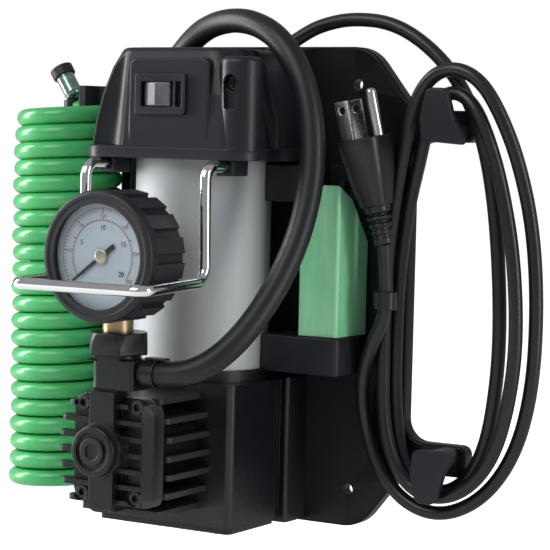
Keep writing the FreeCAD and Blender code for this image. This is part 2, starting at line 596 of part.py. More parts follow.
# ---- gauge --------------------------------------------------------------
def make_gauge():
    """The pressure gauge from its stem to its rubber boot."""
    stem = rod(0, MANIFOLD_Y, -37, Z_AXIS, 4.35, 21)
    collar = rod(0, MANIFOLD_Y, -17, Z_AXIS, 6.4, 7)
    save("gauge_stem", fuse([stem, collar]).cut(rod(0, MANIFOLD_Y, -37, Z_AXIS, 1.2, 26)))
    case = ring(0, GAUGE_Y + 2, GAUGE_Z, Y_AXIS, 25.2, 24.0, 22)
    case = fuse([case, rod(0, GAUGE_Y + 23.6, GAUGE_Z, Y_AXIS, 25.2, 1.4)])
    case = case.cut(rod(0, MANIFOLD_Y, -20, Z_AXIS, 6.45, 16))
    save("gauge_case", case)
    boot = ring(0, GAUGE_Y, GAUGE_Z, Y_AXIS, GAUGE_R, 25.25, 5.5)
    outer = [e for e in boot.Edges if abs(e.CenterOfMass.y - GAUGE_Y) < 0.01 and e.Length > 170]
    boot = boot.makeFillet(2.0, outer)
    lip = ring(0, GAUGE_Y + 0.3, GAUGE_Z, Y_AXIS, 26, 22.5, 1.6)
    sleeve = ring(0, GAUGE_Y + 5, GAUGE_Z, Y_AXIS, 26.3, 25.25, BOOT_DEPTH - 5)
    back = ring(0, GAUGE_Y + BOOT_DEPTH - 1.5, GAUGE_Z, Y_AXIS, 26, 12, 1.5)
    pieces = [boot, lip, sleeve, back]
    for k in range(16):
        rib = box(-3.4, 3.4, GAUGE_Y + 5, GAUGE_Y + BOOT_DEPTH - 1, GAUGE_Z + 26, GAUGE_Z + 28.1)
        pieces.append(rib.rotate(V(0, 0, GAUGE_Z), Y_AXIS, 22.5 * k + 11.25))
    boot = fuse(pieces)
    boot = boot.cut(rod(0, MANIFOLD_Y, -20, Z_AXIS, 6.5, 14))
    save("gauge_boot", boot)
    save("gauge_dial", rod(0, DIAL_Y, GAUGE_Z, Y_AXIS, DIAL_R, 0.8).cut(
        rod(0, GAUGE_Y + 5, GAUGE_Z, Y_AXIS, 1.1, 3)))
    save("gauge_lens", rod(0, GAUGE_Y + 2.1, GAUGE_Z, Y_AXIS, DIAL_R, 1.2))
    needle = rod(0, GAUGE_Y + 4.1, GAUGE_Z, Y_AXIS, 2.2, 0.9)
    arrow = Part.Face(Part.makePolygon([
        V(-1.1, GAUGE_Y + 4.2, GAUGE_Z - 8), V(1.1, GAUGE_Y + 4.2, GAUGE_Z - 8),
        V(0.9, GAUGE_Y + 4.2, GAUGE_Z), V(0.35, GAUGE_Y + 4.2, GAUGE_Z + 18.5),
        V(-0.35, GAUGE_Y + 4.2, GAUGE_Z + 18.5), V(-0.9, GAUGE_Y + 4.2, GAUGE_Z),
        V(-1.1, GAUGE_Y + 4.2, GAUGE_Z - 8)])).extrude(V(0, 0.6, 0))
    spindle = rod(0, GAUGE_Y + 4.5, GAUGE_Z, Y_AXIS, 1.0, 8)
    needle = fuse([needle, arrow, spindle]).rotate(V(0, 0, GAUGE_Z), Y_AXIS, NEEDLE_REST)
    save("gauge_needle", needle)
    block = box(-5, 5, GAUGE_Y + 12.7, GAUGE_Y + 18.4, GAUGE_Z - 22, GAUGE_Z + 8)
    block = block.cut(rod(0, GAUGE_Y + 12, GAUGE_Z, Y_AXIS, 1.2, 8))
    block = block.cut(rod(0, MANIFOLD_Y, -20, Z_AXIS, 6.5, 14))
    bourdon = Part.makeTorus(15, 2, V(0, GAUGE_Y + 10, GAUGE_Z), Y_AXIS, -180, 180, 270)
    bourdon = bourdon.rotate(V(0, GAUGE_Y + 10, GAUGE_Z), Y_AXIS, 90)
    save("gauge_movement", Part.makeCompound([block, bourdon]))


# ---- housing and controls ----------------------------------------------
def housing_shell():
    """The housing's main form, drawn in towards its top."""
    sections = [(43.0, -75.5, -8, 61), (41.4, -75.0, -10.5, 73), (38.6, -74.0, -15, 85),
                (34.6, -72.0, -20, 97), (30.5, -69.0, -24, HOUSING_TOP)]
    wires = [rectangle(half, y0, y1, 12, z) for half, y0, y1, z in sections]
    return Part.makeLoft(wires, True, True)


def leaning_cut(x0, y0, r0, x1, y1, r1):
    """A round groove that leans and narrows from the housing's foot to its top."""
    low = Part.Wire(Part.makeCircle(r0, V(x0, y0, 62.3), Z_AXIS))
    high = Part.Wire(Part.makeCircle(r1, V(x1, y1, HOUSING_TOP + 1), Z_AXIS))
    return Part.makeLoft([low, high], True, True)


def make_housing():
    """The moulded cover over the switch and the wiring."""
    foot = Part.Face(rectangle(44.5, -77, -7.2, 13, HOUSING_BOTTOM)).extrude(V(0, 0, 5.3))
    foot = foot.makeFillet(1.0, [e for e in foot.Edges if e.BoundBox.ZMin > HOUSING_BOTTOM + 5.2])
    shell = housing_shell()
    shell = shell.makeFillet(3.5, [e for e in shell.Edges if e.BoundBox.ZMin > HOUSING_TOP - 0.01])
    shell = shell.cut(leaning_cut(-30.5, -83.5, 12.8, -24.5, -73.5, 4.5))
    shell = shell.cut(leaning_cut(48.5, -51, 7.0, 36.5, -49, 7.0))
    boss = rod(35, -65.5, 61, Z_AXIS, 9.5, 41)
    boss = boss.makeFillet(3.0, [e for e in boss.Edges if e.BoundBox.ZMin > 101.9])
    panel = upright_slab([(-17.5, 61, 1), (24.5, 61, 1), (24.5, 101, 4), (-17.5, 101, 4)],
                         SWITCH_Y - 1.4, -66)
    front = [e for e in panel.Edges if abs(e.CenterOfMass.y - SWITCH_Y + 1.4) < 0.01]
    panel = panel.makeFillet(0.9, front)
    outer = fuse([foot, shell, boss, panel])
    floor_top = HOUSING_BOTTOM + 3
    low = rectangle(39.5, -72, -10.5, 10, floor_top)
    high = rectangle(28.0, -66.3, -26.2, 10, HOUSING_TOP - 3)
    cavity = Part.makeLoft([low, high], True, True)
    solid_zone = leaning_cut(-30.5, -83.5, 14.8, -24.5, -73.5, 6.5)
    cavity = cavity.cut(solid_zone).cut(leaning_cut(48.5, -51, 9.0, 36.5, -49, 9.0))
    cuts = [cavity, rod(0, MOTOR_Y, 50, Z_AXIS, CAN_R + 0.06, 15)]
    cuts.append(box(-12.2, 12.2, -80, -60, SWITCH_Z - 8.1, SWITCH_Z + 8.1))
    screw_hole = rod(35, -76, 90.5, Y_AXIS, 3.6, 7)
    tear = upright_slab([(32.2, 79, 1.5), (37.8, 79, 1.5), (38.6, 90.5, 0.5), (31.4, 90.5, 0.5)],
                        -76, -72.5)
    cuts += [screw_hole, tear, rod(35, -70, 90.5, Y_AXIS, 1.6, 9)]
    for k in range(-3, 4):
        cuts.append(box(6 * k - 1.3, 6 * k + 1.3, -60, -33, 100, 110))
    for sx in (-1, 1):
        cuts.append(rod(sx * 24, -13.2, 66, Y_AXIS, 2.0, 7))
    shape = outer.cut(Part.makeCompound(cuts))
    for sx in (-1, 1):
        lug = rod(sx * 24, -15.5, 66, Y_AXIS, 4.4, 8.0).cut(rod(sx * 24, -13.2, 66, Y_AXIS, 2.0, 7))
        shape = shape.fuse(lug.common(box(-60, 60, -20, -7.2, 60, 75)))
    screw_post = ring(35, -69.1, 90.5, Y_AXIS, 4.5, 1.6, 5.6)
    save("top_housing", shape.fuse(screw_post.common(rod(35, -65.5, 61, Z_AXIS, 9.4, 41))))


def make_switch():
    """The switch body, its bezel and the rocker."""
    frame = upright_slab([(-13.2, 76.3, 1.2), (13.2, 76.3, 1.2), (13.2, 94.1, 1.2), (-13.2, 94.1, 1.2)],
                         SWITCH_Y - 3.2, SWITCH_Y - 1.4)
    sleeve = box(-12.1, 12.1, SWITCH_Y - 2, SWITCH_Y + 9, 77.2, 93.2)
    shape = fuse([frame, sleeve])
    opening = box(-9.7, 7.2, SWITCH_Y - 5, SWITCH_Y + 10, 79.7, 90.7)
    recess = box(8.4, 11.4, SWITCH_Y - 5, SWITCH_Y - 0.5, 79.7, 90.7)
    pin = rod(ROCKER_PIVOT.x, ROCKER_PIVOT.y, 79.2, Z_AXIS, 0.95, 12)
    save("switch_bezel", fuse([shape.cut(opening).cut(recess), pin]))
    body = box(-11, 9, SWITCH_Y + 9, SWITCH_Y + 20, 78.5, 92)
    for x in (-6, 0, 6):
        body = body.fuse(box(x - 0.4, x + 0.4, SWITCH_Y + 19.9, SWITCH_Y + 27, 82, 88))
    save("switch_body", body)
    corners = [V(-8.65, -76.4, 79.9), V(-1.25, -78.0, 79.9), V(6.15, -76.4, 79.9),
               V(4.9, -68.5, 79.9), V(-7.4, -68.5, 79.9), V(-8.65, -76.4, 79.9)]
    rocker = Part.Face(Part.makePolygon(corners)).extrude(V(0, 0, 10.6))
    rocker = rocker.cut(rod(ROCKER_PIVOT.x, ROCKER_PIVOT.y, 79, Z_AXIS, 1.0, 13))
    save("switch_rocker", rocker.rotate(ROCKER_PIVOT, Z_AXIS, -7))


def make_electrics():
    """The rectifier board, the cord's gland and the brush gear."""
    board = box(-22.5, -1.5, -69.6, -68, 64, 76)
    save("rectifier_board", board.fuse(box(-18, -6, -68.1, -65.2, 65.5, 74.5)))
    start = V(*POWER_CORD_ROUTE[0])
    direction = (V(*POWER_CORD_ROUTE[1]) - start).normalize()
    base = start - direction * 20
    relief = Part.makeCone(5.6, 3.9, 20, base, direction)
    grooves = []
    for k in range(4):
        place = base + direction * (6 + 3.4 * k)
        grooves.append(Part.makeCylinder(8, 1.2, place, direction).cut(
            Part.makeCylinder(3.7, 1.2, place, direction)))
    relief = relief.cut(Part.makeCompound(grooves))
    relief = relief.cut(housing_shell())
    solids = sorted(relief.Solids, key=lambda s: s.Volume)
    save("cord_gland", solids[-1])


def make_handle():
    """The bent steel handle and the clips that hold it."""
    half = [(HANDLE_X, -58, HANDLE_Z), (HANDLE_X, -87, HANDLE_Z), (32.3, -87, 5.0),
            (33.6, -134.5, 3.4)]
    points = [V(x, y, z) for x, y, z in half] + [V(-x, y, z) for x, y, z in reversed(half)]
    radii = [0, 6, 7, 5, 5, 7, 6, 0]
    save("carry_handle", tube(points, HANDLE_R, radii))
    clips = []
    for sx in (-1, 1):
        clip = box(sx * HANDLE_X - 4.5, sx * HANDLE_X + 4.5, -72, -60, HANDLE_Z - 4, HOUSING_BOTTOM)
        clips.append(clip.cut(rod(sx * HANDLE_X, -75, HANDLE_Z, Y_AXIS, HANDLE_R + 0.05, 20)))
    save("handle_clips", Part.makeCompound(clips))


# ---- brackets and bin ---------------------------------------------------
def make_brackets():
    """The two shelves that hold the can and the accessory bin."""
    upper = flat_slab([(-41, -37, 2), (52, -37, 2), (52, -20, 2), (62, -14, 2), (62, -7, 0),
                       (-41, -7, 0)], 39, 55.5)
    hole = rod(0, MOTOR_Y, 30, Z_AXIS, CAN_R + 0.05, 30)
    slot = box(-29.5, 30.2, -75, -36, 38, 57)
    bin_space = box(BIN[0] - 0.6, BIN[1] + 1, BIN[2] - 0.6, BIN[3] + 0.6, BIN[4] - 1, BIN[5] + 14)
    upper = upper.cut(hole).cut(slot).cut(bin_space)
    save("upper_bracket", upper.cut(rod(56, -13.2, 47, Y_AXIS, 2.0, 7)))
    tray = flat_slab([(-41, -37, 2), (70.5, -38.8, 2), (70.5, -17, 6), (62, -7, 0), (-41, -7, 0)],
                     -37, -20.4)
    tray = tray.cut(rod(0, MOTOR_Y, -40, Z_AXIS, CAN_R + 0.05, 30))
    tray = tray.cut(rod(0, MOTOR_Y, -40, Z_AXIS, 32.45, 4.05))
    tray = tray.cut(rod(56, -13.2, -30, Y_AXIS, 2.0, 7))
    peg = box(55, 63, -28, -18, -20.5, -14)
    save("accessory_tray", fuse([tray, peg]))


def bin_form(grow, z0):
    """The bin's outside, shrunk by grow, from z0 up to its swept-back rim."""
    x0, x1, y0, y1 = BIN[0] + grow, BIN[1] - grow, BIN[2] + grow, BIN[3] - grow
    side = [V(x0, y0, z0), V(x0, y1, z0), V(x0, y1, 20), V(x0, y0 + 12, 40.5), V(x0, y0, BIN[5])]
    prism = Part.Face(Part.makePolygon(side + [side[0]])).extrude(V(x1 - x0, 0, 0))
    return prism


def make_bin():
    """The clear bin for needles and adapters, open at its top."""
    shell = bin_form(0, BIN[4])
    uprights = [e for e in shell.Edges if e.BoundBox.XLength < 0.01 and e.BoundBox.YLength < 0.01]
    shell = shell.makeFillet(1.6, uprights)
    inside = bin_form(BIN_WALL, BIN[4] + BIN_WALL)
    inside = inside.fuse(box(BIN[0] + BIN_WALL, BIN[1] - BIN_WALL, BIN[2] + BIN_WALL, BIN[3] - BIN_WALL,
                             10, 19))
    above = inside.copy()
    above.translate(V(0, 0, 4))
    shape = shell.cut(inside.fuse(above))
    slope = Part.Face(Part.makePolygon([V(48, -38, 34), V(62, -38, 48), V(62, -38, 60), V(48, -38, 60),
                                        V(48, -38, 34)])).extrude(V(0, 40, 0))
    shape = shape.cut(slope)
    shape = shape.cut(box(54.6, 63.4, -28.4, -17.6, -21, -13.5))
    socket = box(53.2, 64.8, -29.8, -16.2, -19, -12.2).cut(box(54.6, 63.4, -28.4, -17.6, -21, -13.5))
    save("accessory_bin", fuse([shape, socket]))


# ---- hoses and cord -----------------------------------------------------
def make_hoses():
    """The air hose, its coupling and the coiled hose on its holder."""
    save("air_hose", free_line(AIR_HOSE_ROUTE, AIR_HOSE_R, "air hose"))
    elbow_x, elbow_y, elbow_z = AIR_HOSE_ROUTE[-1]
    lead_z = COIL_BOTTOM + COIL_HOSE_R
    to_coil = V(COIL_X - elbow_x, COIL_Y - elbow_y, 0)
    ring_r = COIL_R - COIL_HOSE_R
    swing = math.asin(ring_r / to_coil.Length)
    heading = math.atan2(to_coil.y, to_coil.x) - swing
    lead_dir = V(math.cos(heading), math.sin(heading), 0)
    body = rod(elbow_x, elbow_y, lead_z - 6.4, Z_AXIS, 6.2, elbow_z - lead_z + 6.4)
    stub = Part.makeCylinder(5.0, 10, V(elbow_x, elbow_y, lead_z), lead_dir)
    stub = stub.cut(rod(COIL_X, COIL_Y, -120, Z_AXIS, COIL_R + 0.1, 60))
    save("hose_coupling", fuse([body, stub]))
    lead = Part.makeCylinder(COIL_HOSE_R, 14, V(elbow_x, elbow_y, lead_z) + lead_dir * 10, lead_dir)
    lead = lead.cut(rod(COIL_X, COIL_Y, -120, Z_AXIS, COIL_R, 240))
    save("coil_hose_lead", lead.Solids[0])
    coil = ring(COIL_X, COIL_Y, COIL_BOTTOM, Z_AXIS, COIL_R, COIL_R - 2 * COIL_HOSE_R,
                COIL_TOP - COIL_BOTTOM)
    inner, outer = V(COIL_R - 2 * COIL_HOSE_R, 0, COIL_TOP), V(COIL_R, 0, COIL_TOP)
    arch = Part.Arc(inner, V(ring_r, 0, COIL_TOP + COIL_HOSE_R), outer).toShape()
    depth = V(0, 0, -COIL_HOSE_R)
    under = Part.makePolygon([outer, outer + depth, inner + depth, inner])
    last = Part.Face(Part.Wire([arch] + under.Edges)).revolve(V(), Z_AXIS, 34)
    last.rotate(V(), Z_AXIS, 76)
    last.translate(V(COIL_X, COIL_Y, 0))
    save("coil_hose", coil.fuse(last).removeSplitter().cut(chuck_pocket()))


def chuck_pocket():
    """Room in the end of the coil for the chuck's elbow."""
    room = box(-5, ELBOW_ARM + 0.1, -5.2, 5.2, -3.9, 12)
    room.rotate(V(), Z_AXIS, math.degrees(math.atan2(ELBOW_DIR.y, ELBOW_DIR.x)))
    room.translate(CHUCK)
    return room


def make_chuck():
    """The elbow at the coiled hose's end and the tire chuck on it."""
    body = rod(CHUCK.x, CHUCK.y, CHUCK.z - 3.8, Z_AXIS, 4.4, 7.6)
    arm = Part.makeCylinder(4.3, ELBOW_ARM, CHUCK, ELBOW_DIR)
    arm = arm.common(box(-110, -70, -30, 0, CHUCK.z - 3.8, CHUCK.z + 3.8))
    save("chuck_elbow", fuse([body, arm]))
    top = CHUCK.z + 3.8
    joint = V(CHUCK.x, CHUCK.y, top + 3.4)
    neck = rod(CHUCK.x, CHUCK.y, top, Z_AXIS, 2.6, 3.4)
    barrel = Part.makeCylinder(4.4, 8.5, joint, CHUCK_AXIS)
    ball = Part.makeSphere(4.3, joint)
    ball = ball.cut(box(-110, -70, -30, 0, 60, top))
    tip = Part.makeCylinder(TIP_R, 6, joint + CHUCK_AXIS * 8.5, CHUCK_AXIS)
    mouth = Part.makeCylinder(VALVE_R, 9, joint + CHUCK_AXIS * 5.5, CHUCK_AXIS)
    save("chuck_body", fuse([neck, ball, barrel, tip]).cut(mouth))
    collar = Part.makeCylinder(5.6, 5, joint + CHUCK_AXIS * 9.3, CHUCK_AXIS)
    collar = collar.cut(Part.makeCylinder(TIP_R + 0.06, 8, joint + CHUCK_AXIS * 8, CHUCK_AXIS))
    save("chuck_collar", collar)


def plug_place(shape):
    """Stand a plug part, made along +Z from the origin, on the cord's end."""
    shape.Placement = FreeCAD.Placement(PLUG_BASE, FreeCAD.Rotation(Z_AXIS, PLUG_AXIS))
    return shape


def make_power_cord():
    """The wound power cord with its plug and clip."""
    save("power_cord", free_line(POWER_CORD_ROUTE, POWER_CORD_R, "power cord"))
    relief = Part.makeCone(4.2, 6.0, 17, V(0, 0, 0), Z_AXIS)
    grooves = [ring(0, 0, 3 + 3.2 * k, Z_AXIS, 8, 3.9, 1.4) for k in range(4)]
    relief = relief.cut(Part.makeCompound(grooves))
    low = rectangle(6.4, -6.4, 6.4, 4.5, 17)
    middle = rectangle(9.0, -10.0, 10.0, 6, 31)
    top = rectangle(10.5, -12.0, 12.0, 7, 43)
    body = Part.makeLoft([low, middle], True, True).fuse(Part.makeLoft([middle, top], True, True))
    lip = Part.Face(rectangle(10.5, -12.0, 12.0, 7, 43)).extrude(V(0, 0, 4))
    save("plug_body", plug_place(fuse([relief, body, lip])))
    blades = []
    for side in (-1, 1):
        y = side * 6.35
        blade = box(-7.7, -1.3, y - 0.75, y + 0.75, 47, 64.5)
        blade = blade.cut(rod(-4.5, y - 1, 60.5, Y_AXIS, 1.6, 3))
        blades.append(blade)
    pin = rod(7.4, 0, 47, Z_AXIS, 2.4, 21)
    pin = pin.makeFillet(2.0, [e for e in pin.Edges if e.BoundBox.ZMin > 67.9])
    save("plug_prongs", plug_place(Part.makeCompound(blades + [pin])))
    first = V(82.35, -17.6, -7)
    second = V(86.3, -24.15, -7)
    clip = rod(first.x, first.y, first.z, Z_AXIS, 5.0, 8)
    clip = clip.fuse(rod(second.x, second.y, second.z, Z_AXIS, 5.0, 8))
    across = (second - first).normalize()
    side = V(-across.y, across.x, 0)
    web = Part.makePolygon([first + side * 5.0, second + side * 5.0, second - side * 5.0,
                            first - side * 5.0, first + side * 5.0])
    clip = fuse([clip, Part.Face(web).extrude(V(0, 0, 8))])
    for hole in (first, second):
        clip = clip.cut(rod(hole.x, hole.y, hole.z - 1, Z_AXIS, 3.55, 10))
    save("cord_clip", clip)


make_back_plate()
make_hooks()
make_hose_peg()
make_motor_shell()
make_rotor()
make_crankcase()
make_pump()
make_manifold()
make_gauge()
make_housing()
make_switch()
make_electrics()
make_handle()
make_brackets()
make_bin()
make_hoses()
make_chuck()
make_power_cord()
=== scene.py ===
import json
import math

import bmesh
import bpy
from mathutils import Matrix, Vector


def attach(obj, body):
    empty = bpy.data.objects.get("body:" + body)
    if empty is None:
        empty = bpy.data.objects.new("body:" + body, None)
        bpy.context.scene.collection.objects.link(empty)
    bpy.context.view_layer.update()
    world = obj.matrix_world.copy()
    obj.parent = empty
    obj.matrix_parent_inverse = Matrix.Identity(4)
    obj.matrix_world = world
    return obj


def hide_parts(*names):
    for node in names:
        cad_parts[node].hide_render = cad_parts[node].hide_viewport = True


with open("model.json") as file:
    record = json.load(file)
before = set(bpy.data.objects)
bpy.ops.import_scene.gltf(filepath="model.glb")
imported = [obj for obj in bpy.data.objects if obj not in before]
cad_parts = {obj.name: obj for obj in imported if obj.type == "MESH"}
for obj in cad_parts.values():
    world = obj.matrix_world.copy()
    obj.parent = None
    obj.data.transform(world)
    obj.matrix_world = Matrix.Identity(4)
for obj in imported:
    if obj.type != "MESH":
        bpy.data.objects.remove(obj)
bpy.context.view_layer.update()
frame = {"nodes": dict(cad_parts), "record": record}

NODES = frame["nodes"]
RECORD = frame["record"]
BODY_OF = {node: body for body, nodes in RECORD["behaviour"]["bodies"].items() for node in nodes}
SLOT_OF = {part["node"]: part["material_slot"] for part in RECORD["subparts"]}
MM = 0.001                    # the scene is in metres

# ---- camera -------------------------------------------------------------
CAMERA_AT = Vector((0.52297, -0.83641, 0.0685))
CAMERA_YAW = math.radians(31.3)
CAMERA_PITCH = math.radians(3.814)
CAMERA_ROLL = math.radians(1.35)
CAMERA_LENS = 137.45


def make_camera():
    """The camera stands to the front right, looking slightly down."""
    flat = math.cos(CAMERA_PITCH)
    back = Vector((math.sin(CAMERA_YAW) * flat, -math.cos(CAMERA_YAW) * flat, math.sin(CAMERA_PITCH)))
    right = Vector((math.cos(CAMERA_YAW), math.sin(CAMERA_YAW), 0))
    up = back.cross(right)
    across = right * math.cos(CAMERA_ROLL) + up * math.sin(CAMERA_ROLL)
    upward = up * math.cos(CAMERA_ROLL) - right * math.sin(CAMERA_ROLL)
    data = bpy.data.cameras.new("camera")
    data.lens = CAMERA_LENS
    data.clip_start = 0.01
    data.clip_end = 50
    camera = bpy.data.objects.new("camera", data)
    turned = Matrix((across, upward, back)).transposed().to_4x4()
    camera.matrix_world = Matrix.Translation(CAMERA_AT) @ turned
    bpy.context.scene.collection.objects.link(camera)
    bpy.context.scene.camera = camera


make_camera()

# ---- cords --------------------------------------------------------------
AIR_HOSE_ROUTE = [
    (0.014, -0.105, -0.034), (0.030, -0.105, -0.034), (0.043, -0.101, -0.0295),
    (0.052, -0.092, -0.0195), (0.058, -0.0805, -0.005), (0.062, -0.069, 0.012),
    (0.0645, -0.060, 0.031), (0.0655, -0.054, 0.054), (0.0615, -0.050, 0.079),
    (0.0525, -0.0475, 0.0995), (0.038, -0.044, 0.1135), (0.018, -0.038, 0.120),
    (-0.004, -0.0295, 0.1185), (-0.023, -0.0185, 0.1115), (-0.0375, -0.014, 0.098),
    (-0.0465, -0.0145, 0.080), (-0.0505, -0.016, 0.058), (-0.051, -0.017, 0.030),
    (-0.0505, -0.018, -0.014), (-0.051, -0.018, -0.056), (-0.0505, -0.018, -0.086),
]
POWER_CORD_ROUTE = [
    (0.029, -0.017, 0.109), (0.0355, -0.015, 0.114), (0.045, -0.0138, 0.1185),
    (0.060, -0.013, 0.1213), (0.080, -0.0123, 0.1193), (0.098, -0.0117, 0.109),
    (0.1125, -0.011, 0.094), (0.1225, -0.011, 0.076), (0.130, -0.011, 0.050),
    (0.1345, -0.011, 0.014), (0.136, -0.011, -0.022), (0.1335, -0.011, -0.050),
    (0.1295, -0.011, -0.068), (0.1215, -0.011, -0.082), (0.109, -0.011, -0.0885),
    (0.0965, -0.011, -0.084), (0.0885, -0.011, -0.071), (0.0855, -0.011, -0.052),
    (0.085, -0.011, -0.028), (0.0855, -0.011, 0.008), (0.0895, -0.011, 0.038),
    (0.095, -0.0115, 0.060), (0.0985, -0.012, 0.076), (0.1045, -0.014, 0.086),
    (0.114, -0.017, 0.0895), (0.1235, -0.0185, 0.084), (0.1305, -0.0185, 0.071),
    (0.138, -0.0185, 0.050), (0.145, -0.0185, 0.018), (0.1475, -0.0185, -0.020),
    (0.1435, -0.0185, -0.050), (0.137, -0.0185, -0.070), (0.1255, -0.0185, -0.084),
    (0.1105, -0.0185, -0.0895), (0.0965, -0.0185, -0.085), (0.087, -0.0183, -0.071),
    (0.083, -0.018, -0.052), (0.0825, -0.0175, -0.028), (0.0823, -0.0176, 0.010),
    (0.086, -0.018, 0.040), (0.091, -0.0185, 0.066), (0.0955, -0.019, 0.085),
    (0.104, -0.0195, 0.0965), (0.1155, -0.0198, 0.0995), (0.127, -0.019, 0.094),
    (0.136, -0.0175, 0.080), (0.144, -0.015, 0.060), (0.1505, -0.0125, 0.032),
    (0.1535, -0.012, -0.002), (0.1525, -0.012, -0.038), (0.1455, -0.012, -0.067),
    (0.131, -0.0125, -0.088), (0.111, -0.013, -0.098), (0.0915, -0.013, -0.0935),
    (0.0775, -0.0125, -0.078), (0.071, -0.0135, -0.057), (0.073, -0.020, -0.038),
    (0.080, -0.0245, -0.023), (0.0861, -0.024, -0.010), (0.0865, -0.0244, 0.006),
    (0.0864, -0.027, 0.022),
]
AIR_HOSE_D = 0.011
POWER_CORD_D = 0.0062
COIL_HOSE_D = 0.0079
CORD_ROUNDNESS = 7            # bevel resolution
COIL_AXIS = Vector((-0.082, -0.033, 0))
COIL_RING_R = 0.0224          # control radius; the spline runs a little inside it
COIL_TURNS = 22.12
COIL_PER_TURN = 16            # control points
COIL_LOW = -0.1
COIL_LOOSENING = 0.03         # how much wider the lower turns stand than the mean
COIL_HIGH = 0.0794            # where the hose enters the chuck's elbow
COIL_START_ANGLE = math.radians(76.4)
COIL_NARROWING = 0.0016       # how far the last of the coil draws in towards the elbow
COIL_NARROW_SHARE = 0.2       # the share of the turns that does so
COIL_WAVER = 0.0003           # the turns lie this unevenly
COIL_WAVER_RATE = 2.3         # radians of waver in each turn
COUPLING_OUT = Vector((-0.0505, -0.018, -0.1))
COUPLING_DIR = Vector((-0.9717, 0.2362, 0))
COUPLING_LEAD = (6, 14, 20)   # straight run out of the coupling, in mm


def cord_curve(name, route, diameter):
    """A round line along one NURBS spline with the route as its control points."""
    data = bpy.data.curves.new(name, "CURVE")
    data.dimensions = "3D"
    data.bevel_depth = diameter / 2
    data.bevel_resolution = CORD_ROUNDNESS
    data.resolution_u = 10
    data.use_fill_caps = True
    spline = data.splines.new("NURBS")
    spline.points.add(len(route) - 1)
    for point, place in zip(spline.points, route):
        point.co = (*place, 1)
    spline.order_u = 3
    spline.use_endpoint_u = True
    cord = bpy.data.objects.new(name, data)
    bpy.context.scene.collection.objects.link(cord)
    return cord


def coil_route():
    """From the lower coupling, round the holder turn by turn, and up to the chuck."""
    route = [COUPLING_OUT + COUPLING_DIR * MM * reach for reach in COUPLING_LEAD]
    steps = round(COIL_TURNS * COIL_PER_TURN)
    for i in range(steps + 1):
        share = i / steps
        turn = COIL_TURNS * share
        angle = COIL_START_ANGLE + 2 * math.pi * turn
        narrowed = max(0.0, 1 - (1 - share) / COIL_NARROW_SHARE)
        radius = COIL_RING_R - COIL_NARROWING * narrowed ** 2
        radius += COIL_WAVER * math.sin(turn * COIL_WAVER_RATE)
        eased = share * (1 + COIL_LOOSENING - COIL_LOOSENING * share)
        rise = COIL_LOW + (COIL_HIGH - COIL_LOW) * eased
        route.append(COIL_AXIS + Vector((radius * math.cos(angle), radius * math.sin(angle), rise)))
    return route


air_hose = cord_curve("air_hose_line", AIR_HOSE_ROUTE, AIR_HOSE_D)
power_cord = cord_curve("power_cord_line", POWER_CORD_ROUTE, POWER_CORD_D)
coil_hose = cord_curve("coil_hose_line", coil_route(), COIL_HOSE_D)


# ---- materials ----------------------------------------------------------
SHADES = (0.32, 0.68)         # the patch noise that gives the dark and the light shade
WEAR = (0.53, 0.62)           # the pointiness at which an edge starts to pale, and is pale
GRAIN = (0.3, 0.7)            # the fine noise that gives the smoothest and roughest places
COAT_ROUGHNESS = 0.12
BUMP_STRENGTH = 0.6
EDGE_SAMPLES = 6
MILKY_RADIUS = (0.2, 1.0, 0.3)
MILKY_SCALE = 0.004


def node(tree, kind, **values):
    """A shader node with its input values set by name."""
    made = tree.nodes.new(kind)
    for key, value in values.items():
        made.inputs[key].default_value = value
    return made


def noise(tree, mapping, scale, detail, roughness):
    """Noise over the object's own coordinates, as a value."""
    made = node(tree, "ShaderNodeTexNoise", Scale=scale, Detail=detail, Roughness=roughness)
    tree.links.new(mapping.outputs["Vector"], made.inputs["Vector"])
    return made.outputs["Fac"]


def ranged(tree, value, start, to_low, to_high):
    """The value's stretch from start's low to its high, spread from to_low to to_high."""
    made = tree.nodes.new("ShaderNodeMapRange")
    made.inputs["From Min"].default_value = start[0]
    made.inputs["From Max"].default_value = start[1]
    made.inputs["To Min"].default_value = to_low
    made.inputs["To Max"].default_value = to_high
    tree.links.new(value, made.inputs["Value"])
    return made.outputs["Result"]


def two_shades(tree, value, dark, light):
    """A colour that drifts between two close shades."""
    ramp = node(tree, "ShaderNodeValToRGB")
    for stop, position, shade_of in zip(ramp.color_ramp.elements, SHADES, (dark, light)):
        stop.position = position
        stop.color = (*shade_of, 1)
    tree.links.new(value, ramp.inputs["Fac"])
    return ramp.outputs["Color"]


def worn_edges(tree, colour, wear, worn):
    """The colour, paler along the sharpest edges."""
    shape = node(tree, "ShaderNodeNewGeometry")
    mix = tree.nodes.new("ShaderNodeMix")
    mix.data_type = "RGBA"
    mix.inputs["B"].default_value = (*worn, 1)
    paling = ranged(tree, shape.outputs["Pointiness"], WEAR, 0.0, wear)
    tree.links.new(paling, mix.inputs["Factor"])
    tree.links.new(colour, mix.inputs["A"])
    return mix.outputs["Result"]


